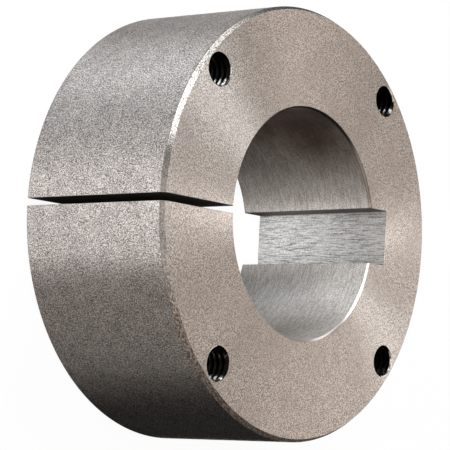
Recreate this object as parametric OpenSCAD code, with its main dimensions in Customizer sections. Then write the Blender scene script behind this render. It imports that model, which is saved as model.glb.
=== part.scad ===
// Quick disconnect bushing: a split ring, tapered outside, that a hub clamps onto a shaft.
// Millimetres. Z runs along the bore and up to the tapped face, and the plain face lies at Z = 0.
// The keyway is cut toward +X, and the saw cut goes through the wall opposite it.

/* [Ring] */
// Outside diameter at the tapped face, measured to the sharp corner
front_d = 95.25; // [80:0.25:130]
// Length along the bore
length = 37.5; // [25:0.5:80]
// Growth of the outside diameter for each millimetre toward the plain face
taper = 0.0625; // [0:0.0025:0.15]
// Diameter of the bore
bore_d = 50.8; // [30:0.1:68]

/* [Edges] */
// Width, across the face, of the chamfer round the rim of the tapped face
rim_chamfer_w = 0.7; // [0.2:0.05:3]
// Height of the same chamfer, along the bore
rim_chamfer_h = 1.1; // [0.2:0.05:3]
// Chamfer round the rim of the plain face
back_chamfer = 0.3; // [0.2:0.05:3]
// Chamfer at both mouths of the bore
bore_chamfer = 0.5; // [0.1:0.05:2]

/* [Keyway] */
// Width of the keyway
key_w = 12.7; // [3:0.1:24]
// Depth from the crown of the bore to the keyway's flat floor
key_depth = 5.66; // [1:0.01:12]

/* [Saw cut] */
// Width of the cut that opens the ring
cut_w = 1.6; // [0.4:0.1:6]
// Turn of the cut off the keyway's centre line
cut_turn = -0.3; // [-3:0.1:3]

/* [Tapped holes] */
// Number of holes, spread evenly round the tapped face
hole_count = 4; // [2:2:8]
// Turn of the hole pattern past the place where it straddles the keyway
hole_turn = 3.5; // [-10:0.1:10]
// Diameter of the drilled hole, left before the thread is tapped
hole_d = 6.53; // [3:0.01:9]
// Width of the chamfer at the mouth of each hole
hole_chamfer = 0.44; // [0.1:0.01:1.5]
// Land left between the mouth of each hole and the rim chamfer
hole_land = 0.36; // [0:0.01:8]
// Solid metal left behind the point of each hole
hole_floor = 12; // [2:0.5:16]
// Angle of the drill's point
point_angle = 118; // [90:1:150]

/* [Hidden] */
round_fn = 240;
past = 1;
metal = [0.58, 0.55, 0.51];

front_r = front_d / 2;
bore_r = bore_d / 2;
hole_r = hole_d / 2;
mouth_r = hole_r + hole_chamfer;
hole_circle_r = front_r - rim_chamfer_w - hole_land - mouth_r;
point_h = hole_r / tan(point_angle / 2);
hole_shoulder_z = hole_floor + point_h;

// Radius of the tapered outside at a height above the plain face
function outside_r(z) = front_r + (length - z) * taper / 2;

// Full ring before the cuts, turned from one section
module ring() {
    rotate_extrude($fn = round_fn)
        polygon([
            [bore_r, bore_chamfer],
            [bore_r + bore_chamfer, 0],
            [outside_r(0) - back_chamfer, 0],
            [outside_r(back_chamfer), back_chamfer],
            [outside_r(length - rim_chamfer_h), length - rim_chamfer_h],
            [front_r - rim_chamfer_w, length],
            [bore_r + bore_chamfer, length],
            [bore_r, length - bore_chamfer]
        ]);
}

// Square slot for the key, open along the whole bore
module keyway() {
    translate([0, -key_w / 2, -past])
        cube([bore_r + key_depth, key_w, length + 2 * past]);
}

// Cut through the wall, from the bore out past the taper
module saw_cut() {
    rotate([0, 0, cut_turn])
        translate([-outside_r(0) - past, -cut_w / 2, -past])
            cube([outside_r(0) + past, cut_w, length + 2 * past]);
}

// Blind hole with a drill point and a chamfered mouth, centred on Z
module tapped_hole() {
    rotate_extrude($fn = round_fn)
        polygon([
            [0, hole_floor],
            [hole_r, hole_shoulder_z],
            [hole_r, length - hole_chamfer],
            [mouth_r + past, length + past],
            [0, length + past]
        ]);
}

// All holes on their circle, either side of the keyway and of the saw cut
module tapped_holes() {
    for (i = [0:hole_count - 1])
        rotate([0, 0, (i + 0.5) * 360 / hole_count + hole_turn])
            translate([hole_circle_r, 0, 0])
                tapped_hole();
}

module bushing() {
    color(metal)
        difference() {
            ring();
            keyway();
            saw_cut();
            tapped_holes();
        }
}

bushing();
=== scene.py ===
import math
import bmesh
import bpy
from mathutils import Matrix, Vector


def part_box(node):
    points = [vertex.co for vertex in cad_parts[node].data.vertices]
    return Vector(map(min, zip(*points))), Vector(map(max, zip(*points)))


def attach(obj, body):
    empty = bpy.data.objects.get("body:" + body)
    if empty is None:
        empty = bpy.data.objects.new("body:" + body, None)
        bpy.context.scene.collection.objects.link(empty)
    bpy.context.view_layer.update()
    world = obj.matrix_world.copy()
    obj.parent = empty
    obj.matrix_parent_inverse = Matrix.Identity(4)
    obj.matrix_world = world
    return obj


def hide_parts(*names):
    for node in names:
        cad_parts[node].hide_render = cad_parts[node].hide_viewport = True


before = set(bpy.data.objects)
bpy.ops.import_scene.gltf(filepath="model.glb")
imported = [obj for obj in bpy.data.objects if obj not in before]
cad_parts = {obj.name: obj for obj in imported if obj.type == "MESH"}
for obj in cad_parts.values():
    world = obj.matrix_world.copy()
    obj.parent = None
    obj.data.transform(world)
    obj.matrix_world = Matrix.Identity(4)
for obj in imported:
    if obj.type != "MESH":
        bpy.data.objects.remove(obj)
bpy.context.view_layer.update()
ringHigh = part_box("bushing")[1]
print("frame loaded:", sorted(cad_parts))

# The ring is modelled in millimetres and scaled to metres when it is finished. Angles are in degrees.
ring = {
    "length": ringHigh.z * 1000,
    "frontRadius": 47.625,      # at the tapped face, to the sharp corner
    "slope": 0.03125,           # growth of the radius per mm toward the plain face
    "boreRadius": 25.4,
    "boreChamfer": 0.5,
    "rimWidth": 0.7,            # chamfer of the tapped face's rim, across the face
    "rimHeight": 1.1,           # and along the bore
    "backChamfer": 0.3,
    "spinDegrees": 354,         # turned in steps of one degree, up to near the saw cut
    "edgeRound": 0.08,          # broken edges
    "edgeSegments": 3,
    "edgeAngle": 30,            # only edges sharper than this are broken
    "flatAngle": 0.3,           # faces that differ by less than this become one
    "merge": 1e-4,              # points closer than this become one
    "sliver": 0.002,            # edges shorter than this go
    "shadeAngle": 36,           # the shading breaks at edges sharper than this
}
keyway = {
    "halfWidth": 6.35,
    "floor": 31.06,             # from the bore's axis
    "past": 2,                  # how far its cutter stands out at both ends
}
sawCut = {
    "halfWidth": 0.8,
    "turn": -0.3,               # off the keyway's line
}
thread = {
    "circleRadius": 42.86,
    "firstAngle": 48.5,         # from the keyway
    "count": 4,
    "minorRadius": 3.265,
    "majorRadius": 3.97,
    "pitch": 25.4 / 18,
    "crestFlat": 0.35,          # flat left by the drill between two grooves
    "rootFlat": 0.22,
    "mouthRadius": 3.52,
    "mouthPast": 0.3,           # how far inside the drilled hole the mouth's cutter ends
    "mouthSegments": 96,
    "stepsPerTurn": 60,
    "turnsAbove": 2,            # turns of the cutter that stand out over the face
    "tappedDepth": 19.0,
    "shoulderDepth": 23.54,
    "pointAngle": 118,
    "leadTurns": 2.0,           # the groove fades out over this many turns at its end
    "startTurns": [0.10, 0.62, 0.35, 0.80],
}
picture = {
    "size": 450,
    "focal": 1656.4,            # in pixels of the picture
    "eye": (-0.29079, -0.03782, 0.25231),
    "look": (0.76996, 0.10097, -0.63005),
    "up": (-0.10955, 0.99366, 0.02537),
}


def outsideRadius(z):
    return ring["frontRadius"] + (ring["length"] - z) * ring["slope"]


def newPiece(name, bm):
    mesh = bpy.data.meshes.new(name)
    bm.to_mesh(mesh)
    bm.free()
    piece = bpy.data.objects.new(name, mesh)
    bpy.context.collection.objects.link(piece)
    return piece


def applyModifier(piece, kind, **settings):
    modifier = piece.modifiers.new(kind.title(), kind)
    for name, value in settings.items():
        setattr(modifier, name, value)
    with bpy.context.temp_override(object=piece, active_object=piece, selected_objects=[piece]):
        bpy.ops.object.modifier_apply(modifier=modifier.name)


def cutAway(piece, cutter):
    applyModifier(piece, "BOOLEAN", operation="DIFFERENCE", solver="EXACT", object=cutter)
    bpy.data.objects.remove(cutter)


# Turned section, spun round Z from one side of the saw cut to the other
def buildRing():
    length = ring["length"]
    bore = ring["boreRadius"]
    soften = ring["boreChamfer"]
    back = ring["backChamfer"]
    rimTop = length - ring["rimHeight"]
    section = [
        (bore, soften),
        (bore + soften, 0),
        (outsideRadius(0) - back, 0),
        (outsideRadius(back), back),
        (outsideRadius(rimTop), rimTop),
        (ring["frontRadius"] - ring["rimWidth"], length),
        (bore + soften, length),
        (bore, length - soften),
    ]
    startAngle = -math.radians(ring["spinDegrees"] / 2)
    bm = bmesh.new()
    corners = [
        bm.verts.new((radius * math.cos(startAngle), radius * math.sin(startAngle), z))
        for radius, z in section
    ]
    bm.faces.new(corners)
    bmesh.ops.spin(
        bm, geom=bm.verts[:] + bm.edges[:] + bm.faces[:], cent=(0, 0, 0), axis=(0, 0, 1), dvec=(0, 0, 0),
        angle=math.radians(ring["spinDegrees"]), steps=ring["spinDegrees"], use_merge=False,
        use_duplicate=False)
    bm.normal_update()
    # each end cap is drawn out to its wall of the saw cut
    for cap in [face for face in bm.faces if len(face.verts) == len(section)]:
        side = math.copysign(1, cap.calc_center_median().y)
        drawn = bmesh.ops.extrude_face_region(bm, geom=[cap])["geom"]
        bmesh.ops.delete(bm, geom=[cap], context="FACES_ONLY")
        for vert in [item for item in drawn if isinstance(item, bmesh.types.BMVert)]:
            reach = math.hypot(vert.co.x, vert.co.y)
            vert.co.y = side * sawCut["halfWidth"]
            vert.co.x = -math.sqrt(reach ** 2 - vert.co.y ** 2)
            vert.co.rotate(Matrix.Rotation(math.radians(sawCut["turn"]), 3, "Z"))
    bmesh.ops.recalc_face_normals(bm, faces=bm.faces)
    return newPiece("bushing_body", bm)


def boxCutter(low, high):
    bm = bmesh.new()
    bmesh.ops.create_cube(bm, size=1)
    bmesh.ops.scale(bm, vec=Vector(high) - Vector(low), verts=bm.verts)
    bmesh.ops.translate(bm, vec=(Vector(high) + Vector(low)) / 2, verts=bm.verts)
    return newPiece("cutter", bm)


# Flat faces become single faces, then every outer edge is broken with a small round
def breakEdges(piece):
    bm = bmesh.new()
    bm.from_mesh(piece.data)
    bmesh.ops.remove_doubles(bm, verts=bm.verts, dist=ring["merge"])
    bmesh.ops.dissolve_limit(
        bm, angle_limit=math.radians(ring["flatAngle"]), use_dissolve_boundaries=False,
        verts=bm.verts, edges=bm.edges)
    sharp = [
        edge for edge in bm.edges
        if edge.is_manifold and edge.is_convex and edge.calc_face_angle() > math.radians(ring["edgeAngle"])
    ]
    bmesh.ops.bevel(
        bm, geom=sharp, offset=ring["edgeRound"], offset_type="OFFSET", segments=ring["edgeSegments"],
        profile=0.5, affect="EDGES", clamp_overlap=True, material=-1)
    bm.to_mesh(piece.data)
    bm.free()


# Solid of one tapped hole: groove, drilled end and drill point, with the tapped face at z = 0
def threadCutter(startTurn):
    pitch = thread["pitch"]
    minor = thread["minorRadius"]
    height = thread["majorRadius"] - minor
    flank = (pitch - thread["crestFlat"] - thread["rootFlat"]) / 2
    grooveStart = [0, thread["crestFlat"], thread["crestFlat"] + flank, pitch - flank]
    grooveHeight = [0, 0, height, height]
    turns = math.ceil(thread["tappedDepth"] / pitch) + thread["turnsAbove"]
    low = -thread["tappedDepth"]
    bm = bmesh.new()
    column = []
    for turn in range(turns):
        for z, rise in zip(grooveStart, grooveHeight):
            column.append(bm.verts.new((minor + rise, 0, low + turn * pitch + z)))
    column.append(bm.verts.new((minor, 0, low + turns * pitch)))
    for lower, upper in zip(column, column[1:]):
        bm.edges.new((lower, upper))
    steps = thread["stepsPerTurn"]
    bmesh.ops.spin(
        bm, geom=bm.verts[:] + bm.edges[:], cent=(0, 0, 0), axis=(0, 0, 1), dvec=(0, 0, pitch / steps),
        angle=math.tau, steps=steps, use_merge=False, use_duplicate=False)
    bmesh.ops.remove_doubles(bm, verts=bm.verts, dist=ring["merge"])
    top = max(vert.co.z for vert in bm.verts)
    # the groove fades out at both ends
    for vert in bm.verts:
        reach = math.hypot(vert.co.x, vert.co.y)
        lead = (vert.co.z - low - pitch) / (thread["leadTurns"] * pitch)
        tail = (top - pitch - vert.co.z) / pitch
        allowed = minor + height * max(0, min(1, lead, tail))
        if reach > allowed:
            vert.co.xy *= allowed / reach
    # both open ends are squared off
    for vert in [vert for vert in bm.verts if vert.is_boundary]:
        vert.co.z = -thread["shoulderDepth"] if vert.co.z < 0 else top
    bmesh.ops.remove_doubles(bm, verts=bm.verts, dist=ring["merge"])
    rims = [edge for edge in bm.edges if edge.is_boundary]
    caps = bmesh.ops.holes_fill(bm, edges=rims, sides=0)["faces"]
    lowest = min(caps, key=lambda face: face.calc_center_median().z)
    pointHeight = minor / math.tan(math.radians(thread["pointAngle"] / 2))
    tip = bmesh.ops.poke(bm, faces=[lowest])["verts"][0]
    tip.co = (0, 0, -thread["shoulderDepth"] - pointHeight)
    bmesh.ops.recalc_face_normals(bm, faces=bm.faces)
    bmesh.ops.rotate(
        bm, cent=(0, 0, 0), matrix=Matrix.Rotation(math.tau * startTurn, 3, "Z"), verts=bm.verts)
    return bm


def mouthCutter():
    depth = thread["mouthRadius"] - thread["minorRadius"] + thread["mouthPast"]
    bm = bmesh.new()
    bmesh.ops.create_cone(
        bm, cap_ends=True, cap_tris=False, segments=thread["mouthSegments"], depth=2 * depth,
        radius1=thread["mouthRadius"] - depth, radius2=thread["mouthRadius"] + depth)
    return bm


# Middle of a hole's mouth
def holePlace(number):
    angle = math.radians(thread["firstAngle"] + number * 360 / thread["count"])
    radius = thread["circleRadius"]
    return Vector((radius * math.cos(angle), radius * math.sin(angle), ring["length"]))


def cutHoles(piece):
    for number in range(thread["count"]):
        for bm in (mouthCutter(), threadCutter(thread["startTurns"][number])):
            bmesh.ops.translate(bm, vec=holePlace(number), verts=bm.verts)
            cutAway(piece, newPiece("cutter", bm))
    # slivers that the cuts leave
    bm = bmesh.new()
    bm.from_mesh(piece.data)
    bmesh.ops.dissolve_degenerate(bm, dist=ring["sliver"], edges=bm.edges)
    bm.to_mesh(piece.data)
    bm.free()


body = buildRing()
cutAway(body, boxCutter(
    (0, -keyway["halfWidth"], -keyway["past"]),
    (keyway["floor"], keyway["halfWidth"], ring["length"] + keyway["past"])))
breakEdges(body)
print("ring turned, keyway cut:", len(body.data.polygons), "faces")
cutHoles(body)
print("holes tapped:", len(body.data.polygons), "faces")


# A socket of a material's nodes: arithmetic on it adds Math nodes, and node() adds any other
class Wire:
    def __init__(self, tree, socket=None):
        self.tree = tree
        self.socket = socket

    def node(self, kind, settings=None, inputs=None, output=0):
        made = self.tree.nodes.new("ShaderNode" + kind)
        for name, value in (settings or {}).items():
            setattr(made, name, value)
        for name, value in (inputs or {}).items():
            if isinstance(value, Wire):
                self.tree.links.new(value.socket, made.inputs[name])
            else:
                made.inputs[name].default_value = value
        return Wire(self.tree, made.outputs[output])

    def maths(self, operation, *terms):
        return self.node("Math", {"operation": operation}, dict(enumerate(terms)))

    def __add__(self, other):
        return self.maths("ADD", self, other)

    def __radd__(self, other):
        return self.maths("ADD", other, self)

    def __sub__(self, other):
        return self.maths("SUBTRACT", self, other)

    def __rsub__(self, other):
        return self.maths("SUBTRACT", other, self)

    def __mul__(self, other):
        return self.maths("MULTIPLY", self, other)

    def __rmul__(self, other):
        return self.maths("MULTIPLY", other, self)

    def __pow__(self, other):
        return self.maths("POWER", self, other)

    # x, y or z of a place, as 0, 1 or 2
    def along(self, axis):
        return self.node("SeparateXYZ", None, {0: self}, output=axis)

    # 0 below the first value, 1 above the second
    def between(self, low, high):
        return self.node("MapRange", {"clamp": True}, {"Value": self, "From Min": low, "From Max": high})

    # self is the share of the second colour
    def colours(self, first, second, blend="MIX"):
        return self.node(
            "Mix", {"data_type": "RGBA", "blend_type": blend, "clamp_factor": True},
            {0: self, 6: first, 7: second}, output=2)

    # self is a place, stretched along its axes before the noise is read
    def noise(self, scale, detail, stretch=(1, 1, 1), shift=(0, 0, 0)):
        moved = self.node("Mapping", None, {"Vector": self, "Location": shift, "Scale": stretch})
        return self.node("TexNoise", None, {"Vector": moved, "Scale": scale, "Detail": detail})


# A new material, its shader, and the place of each of its points in millimetres
def newFinish(name, settings):
    material = bpy.data.materials.new(name)
    material.use_nodes = True
    tree = material.node_tree
    shader = tree.nodes["Principled BSDF"]
    shader.inputs["Metallic"].default_value = settings["metallic"]
    shader.inputs["Roughness"].default_value = settings["roughness"]
    shader.inputs["Anisotropic"].default_value = settings["anisotropic"]
    shader.inputs["Anisotropic Rotation"].default_value = 0.25      # the grooves run round Z
    start = Wire(tree)
    here = start.node("TexCoord", output="Object")
    return material, shader, start.node("VectorMath", {"operation": "SCALE"}, {0: here, "Scale": 1000})


# The same place unrolled: out from the axis, round it as on the middle of the wall, and along it
def unrolled(place):
    middleRadius = 36
    x, y = place.along(0), place.along(1)
    reach = (x * x + y * y) ** 0.5
    turn = y.maths("ARCTAN2", y, x) * middleRadius
    return place.node("CombineXYZ", None, {0: reach, 1: turn, 2: place.along(2)})


def plug(shader, socket, wire):
    wire.tree.links.new(wire.socket, shader.inputs[socket])


def roughen(shader, height, strength):
    depth = 0.00005                         # in metres
    plug(shader, "Normal", height.node(
        "Bump", None, {"Strength": strength, "Distance": depth, "Height": height}))


faceFinish = {
    "dark": (0.15, 0.136, 0.125, 1),
    "light": (0.46, 0.412, 0.378, 1),
    "grainScale": 4.5,
    "grainSpan": (0.38, 0.62),              # of the noise, from dark to light
    "cloudTint": (0.264, 0.228, 0.208, 1),
    "cloudScale": 0.13,
    "cloudSpan": (0.42, 0.62),
    "cloudShare": 0.35,
    "metallic": 1.0,
    "anisotropic": 0.97,
    "roughness": 0.5,
    "bump": 0.35,
}


def facedEnd():
    material, shader, place = newFinish("faced_end", faceFinish)
    grain = unrolled(place).noise(faceFinish["grainScale"], detail=1, stretch=(1, 0.8, 1))
    cloud = place.noise(faceFinish["cloudScale"], detail=3)
    share = cloud.between(*faceFinish["cloudSpan"]) * faceFinish["cloudShare"]
    colour = grain.between(*faceFinish["grainSpan"]).colours(faceFinish["dark"], faceFinish["light"])
    plug(shader, "Base Color", share.colours(colour, faceFinish["cloudTint"]))
    roughen(shader, grain, faceFinish["bump"])
    return material


outsideFinish = {
    "dark": (0.15, 0.139, 0.133, 1),
    "light": (1.0, 0.925, 0.885, 1),
    "grainScale": 4.5,
    "grainSpan": (0.36, 0.64),
    "patchScale": 0.3,
    "patchShare": 0.12,
    "metallic": 1.0,
    "anisotropic": 1.0,
    "roughness": 0.42,
    "bump": 0.5,
}


def turnedOutside():
    material, shader, place = newFinish("turned_outside", outsideFinish)
    grain = place.noise(outsideFinish["grainScale"], detail=1)
    patch = place.noise(outsideFinish["patchScale"], detail=2, shift=(3, 1, 7))
    tone = (grain + (patch - 0.5) * outsideFinish["patchShare"]).between(*outsideFinish["grainSpan"])
    plug(shader, "Base Color", tone.colours(outsideFinish["dark"], outsideFinish["light"]))
    roughen(shader, grain, outsideFinish["bump"])
    return material


boreFinish = {
    "dark": (0.42, 0.395, 0.375, 1),
    "light": (0.93, 0.88, 0.835, 1),
    "lineScale": 4.2,
    "lineStretch": (1, 0.06, 1),
    "lineShare": 0.4,                       # the rest is grain
    "grainScale": 4.5,
    "toneSpan": (0.38, 0.62),
    "cloudScale": 0.11,
    "upperShadeTint": (0.19, 0.155, 0.14, 1),    # painted shade: the wall toward +Y is made darker and browner
    "upperShadeSpan": (6, 26),
    "upperShadeWander": 16,                      # how far the clouds move its edge, in mm
    # painted shade: a darker patch high on the wall toward +Y
    "shadePatchTint": (0.52, 0.46, 0.43, 1),
    "shadePatchPlace": (13.5, 21.5, 28.0),
    "shadePatchSpan": (4, 11),                   # its full and its faded radius
    "shadePatchWander": 20,
    "metallic": 1.0,
    "anisotropic": 0.9,
    "roughness": 0.5,
    "bump": 0.3,
}


def turnedBore():
    material, shader, place = newFinish("turned_bore", boreFinish)
    lines = unrolled(place).noise(boreFinish["lineScale"], detail=2, stretch=boreFinish["lineStretch"])
    grain = place.noise(boreFinish["grainScale"], detail=1)
    cloud = place.noise(boreFinish["cloudScale"], detail=2, shift=(2, 5, 1)) - 0.5
    tone = lines * boreFinish["lineShare"] + grain * (1 - boreFinish["lineShare"])
    # painted shade: the wall toward +Y is darkened and browned
    upper = (place.along(1) + cloud * boreFinish["upperShadeWander"]).between(*boreFinish["upperShadeSpan"])
    # painted shade: a darker patch on the wall toward +Y
    away = place.node(
        "VectorMath", {"operation": "DISTANCE"}, {0: place, 1: boreFinish["shadePatchPlace"]}, output=1)
    shadePatch = 1 - (away + cloud * boreFinish["shadePatchWander"]).between(*boreFinish["shadePatchSpan"])
    colour = tone.between(*boreFinish["toneSpan"]).colours(boreFinish["dark"], boreFinish["light"])
    colour = upper.colours(colour, boreFinish["upperShadeTint"], "MULTIPLY")
    plug(shader, "Base Color", shadePatch.colours(colour, boreFinish["shadePatchTint"], "MULTIPLY"))
    roughen(shader, lines, boreFinish["bump"])
    return material


keywayFinish = {
    "dark": (0.18, 0.175, 0.17, 1),
    "light": (1.0, 0.99, 0.98, 1),
    "lineScale": 6.0,
    "lineStretch": (1, 1, 0.055),
    "lineSpan": (0.38, 0.52),
    "lineShare": 0.6,                       # the rest is grain
    "grainScale": 5.0,
    "grainSpan": (0.38, 0.58),
    "mouthTint": (0.55, 0.54, 0.53, 1),     # darker toward the tapped face
    "mouthSpan": (6, 37),
    "metallic": 0.4,
    "anisotropic": 0,
    "roughness": 0.5,
    "bump": 0.4,
}


def broachedKeyway():
    material, shader, place = newFinish("broached_keyway", keywayFinish)
    lines = place.noise(keywayFinish["lineScale"], detail=2, stretch=keywayFinish["lineStretch"])
    grain = place.noise(keywayFinish["grainScale"], detail=1, stretch=(1, 1, 0.5))
    lineTone = lines.between(*keywayFinish["lineSpan"]) * keywayFinish["lineShare"]
    grainTone = grain.between(*keywayFinish["grainSpan"]) * (1 - keywayFinish["lineShare"])
    colour = (lineTone + grainTone).colours(keywayFinish["dark"], keywayFinish["light"])
    mouth = place.along(2).between(*keywayFinish["mouthSpan"])
    plug(shader, "Base Color", mouth.colours(colour, keywayFinish["mouthTint"], "MULTIPLY"))
    roughen(shader, lines + grain, keywayFinish["bump"])
    return material


# Painted shade: the saw cut's walls and the keyway's sides are given a near-black colour
shadedWallFinish = {
    "dark": (0.03, 0.025, 0.022, 1),
    "light": (0.12, 0.10, 0.088, 1),
    "lineScale": 2.0,
    "lineStretch": (1, 1, 0.1),
    "lineSpan": (0.3, 0.7),
    "metallic": 0.6,
    "anisotropic": 0,
    "roughness": 0.6,
    "bump": 0.4,
}


def shadedCutWall():
    material, shader, place = newFinish("cut_wall_painted_shade", shadedWallFinish)
    lines = place.noise(shadedWallFinish["lineScale"], detail=3, stretch=shadedWallFinish["lineStretch"])
    tone = lines.between(*shadedWallFinish["lineSpan"])
    plug(shader, "Base Color", tone.colours(shadedWallFinish["dark"], shadedWallFinish["light"]))
    roughen(shader, lines, shadedWallFinish["bump"])
    return material


rimFinish = {
    "dark": (0.30, 0.285, 0.27, 1),
    "light": (0.60, 0.575, 0.55, 1),
    "grainScale": 4.0,
    "grainSpan": (0.36, 0.60),
    "pitTint": (0.16, 0.14, 0.125, 1),
    "pitScale": 2.8,
    "pitSpan": (0.55, 0.60),
    "pitShare": 0.5,
    "paintedShadeTint": (0.55, 0.52, 0.50, 1),      # painted shade, beside the saw cut
    "paintedShadeSpan": (9, 14),                    # fades out over these heights in Y
    "wornTint": (0.80, 0.71, 0.65, 1),      # the side toward -Y is worn and rougher
    "wornSpan": (-22, -10),
    "wornPits": 0.08,                       # it has more pits
    "wornPitShare": 0.4,                    # and deeper ones
    "wornRoughness": 0.7,
    "metallic": 1.0,
    "anisotropic": 0.3,
    "roughness": 0.26,
    "bump": 0.08,
}


def chamferedRim():
    material, shader, place = newFinish("chamfered_rim", rimFinish)
    grain = place.noise(rimFinish["grainScale"], detail=1)
    pits = unrolled(place).noise(rimFinish["pitScale"], detail=2, stretch=(1, 0.6, 1))
    side = place.along(1)
    worn = 1 - side.between(*rimFinish["wornSpan"])
    # painted shade: the rim beside the saw cut is darkened, except on the worn side
    paintedShade = (1 - side.between(*rimFinish["paintedShadeSpan"])) * (1 - worn)
    pitted = (pits + worn * rimFinish["wornPits"]).between(*rimFinish["pitSpan"])
    share = pitted * (rimFinish["pitShare"] + worn * rimFinish["wornPitShare"])
    colour = grain.between(*rimFinish["grainSpan"]).colours(rimFinish["dark"], rimFinish["light"])
    colour = share.colours(colour, rimFinish["pitTint"])
    colour = paintedShade.colours(colour, rimFinish["paintedShadeTint"], "MULTIPLY")
    plug(shader, "Base Color", worn.colours(colour, rimFinish["wornTint"], "MULTIPLY"))
    rougher = worn * (rimFinish["wornRoughness"] - rimFinish["roughness"])
    plug(shader, "Roughness", rimFinish["roughness"] + rougher)
    roughen(shader, grain, rimFinish["bump"])
    return material


mouthFinish = {
    "dark": (0.42, 0.40, 0.38, 1),
    "light": (0.56, 0.54, 0.52, 1),
    "grainScale": 4.0,
    "grainSpan": (0.36, 0.60),
    "paintedShadeTint": (0.28, 0.255, 0.235, 1),    # painted shade on the side toward +Y
    "paintedShadeSpan": (-6, 5),
    "metallic": 1.0,
    "anisotropic": 0.3,
    "roughness": 0.28,
}


def chamferedMouth():
    material, shader, place = newFinish("chamfered_mouth", mouthFinish)
    grain = place.noise(mouthFinish["grainScale"], detail=1)
    # painted shade: the mouth's side toward +Y is darkened
    paintedShade = place.along(1).between(*mouthFinish["paintedShadeSpan"])
    colour = grain.between(*mouthFinish["grainSpan"]).colours(mouthFinish["dark"], mouthFinish["light"])
    plug(shader, "Base Color", paintedShade.colours(colour, mouthFinish["paintedShadeTint"], "MULTIPLY"))
    return material


# Painted shade: the tapped holes are given a near-black colour
shadedThreadFinish = {
    "dark": (0.03, 0.027, 0.025, 1),
    "light": (0.2, 0.19, 0.18, 1),
    "grainScale": 3.0,
    "grainSpan": (0.3, 0.7),
    "metallic": 1.0,
    "anisotropic": 0,
    "roughness": 0.16,
    "bump": 0.06,
}


def shadedCutThread():
    material, shader, place = newFinish("cut_thread_painted_shade", shadedThreadFinish)
    grain = place.noise(shadedThreadFinish["grainScale"], detail=2)
    tone = grain.between(*shadedThreadFinish["grainSpan"])
    plug(shader, "Base Color", tone.colours(shadedThreadFinish["dark"], shadedThreadFinish["light"]))
    roughen(shader, grain, shadedThreadFinish["bump"])
    return material


# How far a face's normal leans tells the surfaces apart, with where the face lies, in millimetres
sorting = {
    "near": 0.01,
    "level": 0.8,               # along Z: above this is an end face
    "upright": 0.1,             # below this is a wall
    "square": 0.9,              # along Y: above this is the saw cut, or a side of the keyway
    "cutReach": 0.3,            # how far beside the saw cut its walls may lie
    "keyReach": 35,             # the keyway lies inside this radius
    "middleReach": 36,          # between the bore's chamfers and the outer rims
}


def finishOf(middle, normal):
    reach = math.hypot(middle.x, middle.y)
    near = sorting["near"]
    for number in range(thread["count"]):
        away = (middle - holePlace(number)).xy.length
        if away < thread["majorRadius"] + near and middle.z < ring["length"] - near:
            return "thread"
    if abs(normal.z) > sorting["level"]:
        return "face"
    square = abs(normal.y) > sorting["square"]
    if middle.x < 0 and abs(middle.y) < sawCut["halfWidth"] + sorting["cutReach"] and square:
        return "wall"
    if abs(normal.z) < sorting["upright"]:
        inKey = middle.x > 0 and abs(middle.y) < keyway["halfWidth"] + near
        if inKey and ring["boreRadius"] < reach < sorting["keyReach"]:
            return "wall" if square else "keyway"
        if reach < ring["boreRadius"] + near:
            return "bore"
        if reach > ring["frontRadius"] - near:
            return "outside"
    return "rim" if reach > sorting["middleReach"] else "mouth"


finishes = {
    "face": facedEnd(),
    "outside": turnedOutside(),
    "bore": turnedBore(),
    "keyway": broachedKeyway(),
    "wall": shadedCutWall(),
    "thread": shadedCutThread(),
    "rim": chamferedRim(),
    "mouth": chamferedMouth(),
}
slotNumbers = {name: number for number, name in enumerate(finishes)}
body.data.materials.clear()
for material in finishes.values():
    body.data.materials.append(material)
for face in body.data.polygons:
    face.material_index = slotNumbers[finishOf(face.center, face.normal)]
    face.use_smooth = True

body.data.transform(Matrix.Scale(0.001, 4))
body.data.set_sharp_from_angle(angle=math.radians(ring["shadeAngle"]))
applyModifier(body, "WEIGHTED_NORMAL", mode="FACE_AREA", weight=100, keep_sharp=True)
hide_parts("bushing")
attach(body, "root")
print("finishes laid on")

floor = {
    "halfSide": 3.0,
    "seen": (0.75, 0.75, 0.75, 1),          # as the camera sees it
    "bounced": (0.035, 0.035, 0.035, 1),    # light given back to the object
    "cameraShare": 0.93,                    # share of plain white, for the camera
    "mirrorShare": 0.01,                    # and for what the metal mirrors
}


def layFloor():
    bm = bmesh.new()
    bmesh.ops.create_grid(bm, x_segments=1, y_segments=1, size=floor["halfSide"])
    plane = newPiece("floor", bm)
    material = bpy.data.materials.new("plain_floor")
    material.use_nodes = True
    tree = material.node_tree
    tree.nodes.remove(tree.nodes["Principled BSDF"])
    start = Wire(tree)
    seen = start.node("LightPath", output="Is Camera Ray")
    mirrored = start.node("LightPath", output="Is Glossy Ray")
    through = start.node("LightPath", output="Is Transmission Ray")
    bounced = mirrored.maths("MAXIMUM", mirrored, through)
    share = seen * floor["cameraShare"] + bounced * floor["mirrorShare"]
    lit = start.node("BsdfDiffuse", None, {"Color": seen.colours(floor["bounced"], floor["seen"])})
    white = start.node("Emission", None, {"Color": (1, 1, 1, 1), "Strength": 1})
    mixed = start.node("MixShader", None, {0: share, 1: lit, 2: white})
    tree.links.new(mixed.socket, tree.nodes["Material Output"].inputs["Surface"])
    plane.data.materials.append(material)


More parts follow.
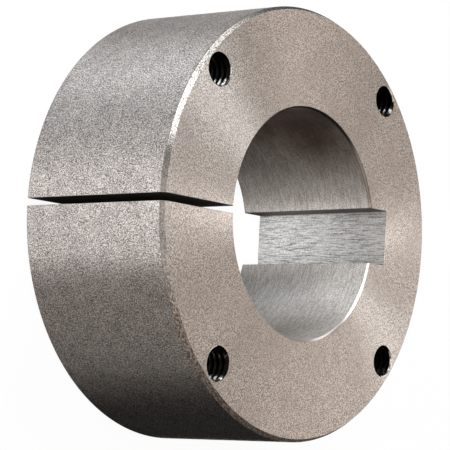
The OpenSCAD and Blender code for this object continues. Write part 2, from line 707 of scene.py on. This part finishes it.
# Each softbox: its direction from the object, its distance, width and height in metres,
# its power in watts, and its colour
lamps = {
    "key_softbox": ((-0.03, 0.64, 0.77), 0.45, 0.2, 0.18, 0.85, (0.93, 1.0, 1.05)),
    "back_high_softbox": ((-0.07, 0.81, 0.60), 0.75, 0.5, 0.25, 0.6, (1, 1, 1)),
    "low_softbox_1": ((0.49, 0.85, 0.21), 0.75, 0.45, 0.26, 0.9, (1, 1, 1)),
    "low_softbox_2": ((-0.087, 0.996, 0.16), 0.75, 0.45, 0.22, 0.65, (1, 1, 1)),
    "low_softbox_3": ((-0.60, 0.735, 0.32), 0.75, 0.45, 0.16, 1.0, (1, 1, 1)),
    "low_softbox_4": ((-0.966, 0.259, 0.11), 0.75, 0.45, 0.14, 1.0, (1, 1, 1)),
    "low_softbox_5": ((-0.978, -0.208, 0.11), 0.75, 0.25, 0.14, 0.53, (1, 1, 1)),
    "low_fill_softbox": ((-0.33, -0.90, 0.30), 0.75, 0.6, 0.35, 0.11, (1.1, 1, 0.9)),
    "left_softbox": ((-0.90, -0.08, 0.42), 0.75, 0.7, 0.22, 0.35, (1, 1, 1)),
    "left_high_softbox": ((-0.55, 0.39, 0.74), 0.75, 0.35, 0.27, 1.3, (1, 1, 1)),
    "fill_softbox": ((-0.63, -0.42, 0.65), 0.75, 0.35, 0.35, 0.6, (1.08, 1, 0.93)),
    "overhead_softbox": ((-0.60, 0.0, 0.80), 0.75, 0.4, 0.33, 2.5, (1, 1, 1)),
    "front_softbox": ((-0.25, -0.64, 0.73), 0.75, 0.4, 0.33, 0.8, (1.05, 1, 0.95)),
    "right_softbox": ((0.77, 0.025, 0.63), 0.75, 0.3, 0.4, 2.1, (1.07, 1, 0.94)),
}
boreLamp = {
    "towards": (-0.78, 0.03, 0.62),
    "target": (0.031, 0.0, 0.012),
    "distance": 0.5,
    "angle": 4.8,
    "radius": 0.02,
    "power": 18.0,
}
room = {"light": 0.005, "colour": (1, 1, 1, 1)}     # a plain world, nearly dark


def newLamp(name, kind, target, towards, distance, power):
    light = bpy.data.lights.new(name, kind)
    light.energy = power
    lamp = bpy.data.objects.new(name, light)
    bpy.context.collection.objects.link(lamp)
    direction = Vector(towards).normalized()
    lamp.location = Vector(target) + direction * distance
    lamp.rotation_euler = direction.to_track_quat("Z", "Y").to_euler()
    return light


def softbox(name, towards, distance, width, height, power, colour):
    light = newLamp(name, "AREA", (0, 0, 0), towards, distance, power)
    light.shape = "RECTANGLE"
    light.size = width
    light.size_y = height
    light.color = colour


# A narrow soft spot from beside the camera, on the floor of the keyway
def boreSpot():
    light = newLamp(
        "bore_spot", "SPOT", boreLamp["target"], boreLamp["towards"], boreLamp["distance"],
        boreLamp["power"])
    light.spot_size = math.radians(boreLamp["angle"])
    light.spot_blend = 1
    light.shadow_soft_size = boreLamp["radius"]


def plainWorld():
    world = bpy.data.worlds.new("world")
    bpy.context.scene.world = world
    world.use_nodes = True
    background = world.node_tree.nodes["Background"]
    background.inputs["Color"].default_value = room["colour"]
    background.inputs["Strength"].default_value = room["light"]


def placeCamera():
    lens = bpy.data.cameras.new("camera")
    lens.sensor_width = 36
    lens.lens = picture["focal"] * lens.sensor_width / picture["size"]
    lens.clip_start = 0.01
    camera = bpy.data.objects.new("camera", lens)
    bpy.context.collection.objects.link(camera)
    back = -Vector(picture["look"]).normalized()
    up = Vector(picture["up"]).normalized()
    right = up.cross(back).normalized()
    turn = Matrix((right, back.cross(right), back)).transposed()
    camera.matrix_world = Matrix.Translation(picture["eye"]) @ turn.to_4x4()
    bpy.context.scene.camera = camera


layFloor()
for name, settings in lamps.items():
    softbox(name, *settings)
boreSpot()
plainWorld()
placeCamera()
bpy.context.scene.view_settings.view_transform = "Standard"

print("lamps and camera placed")
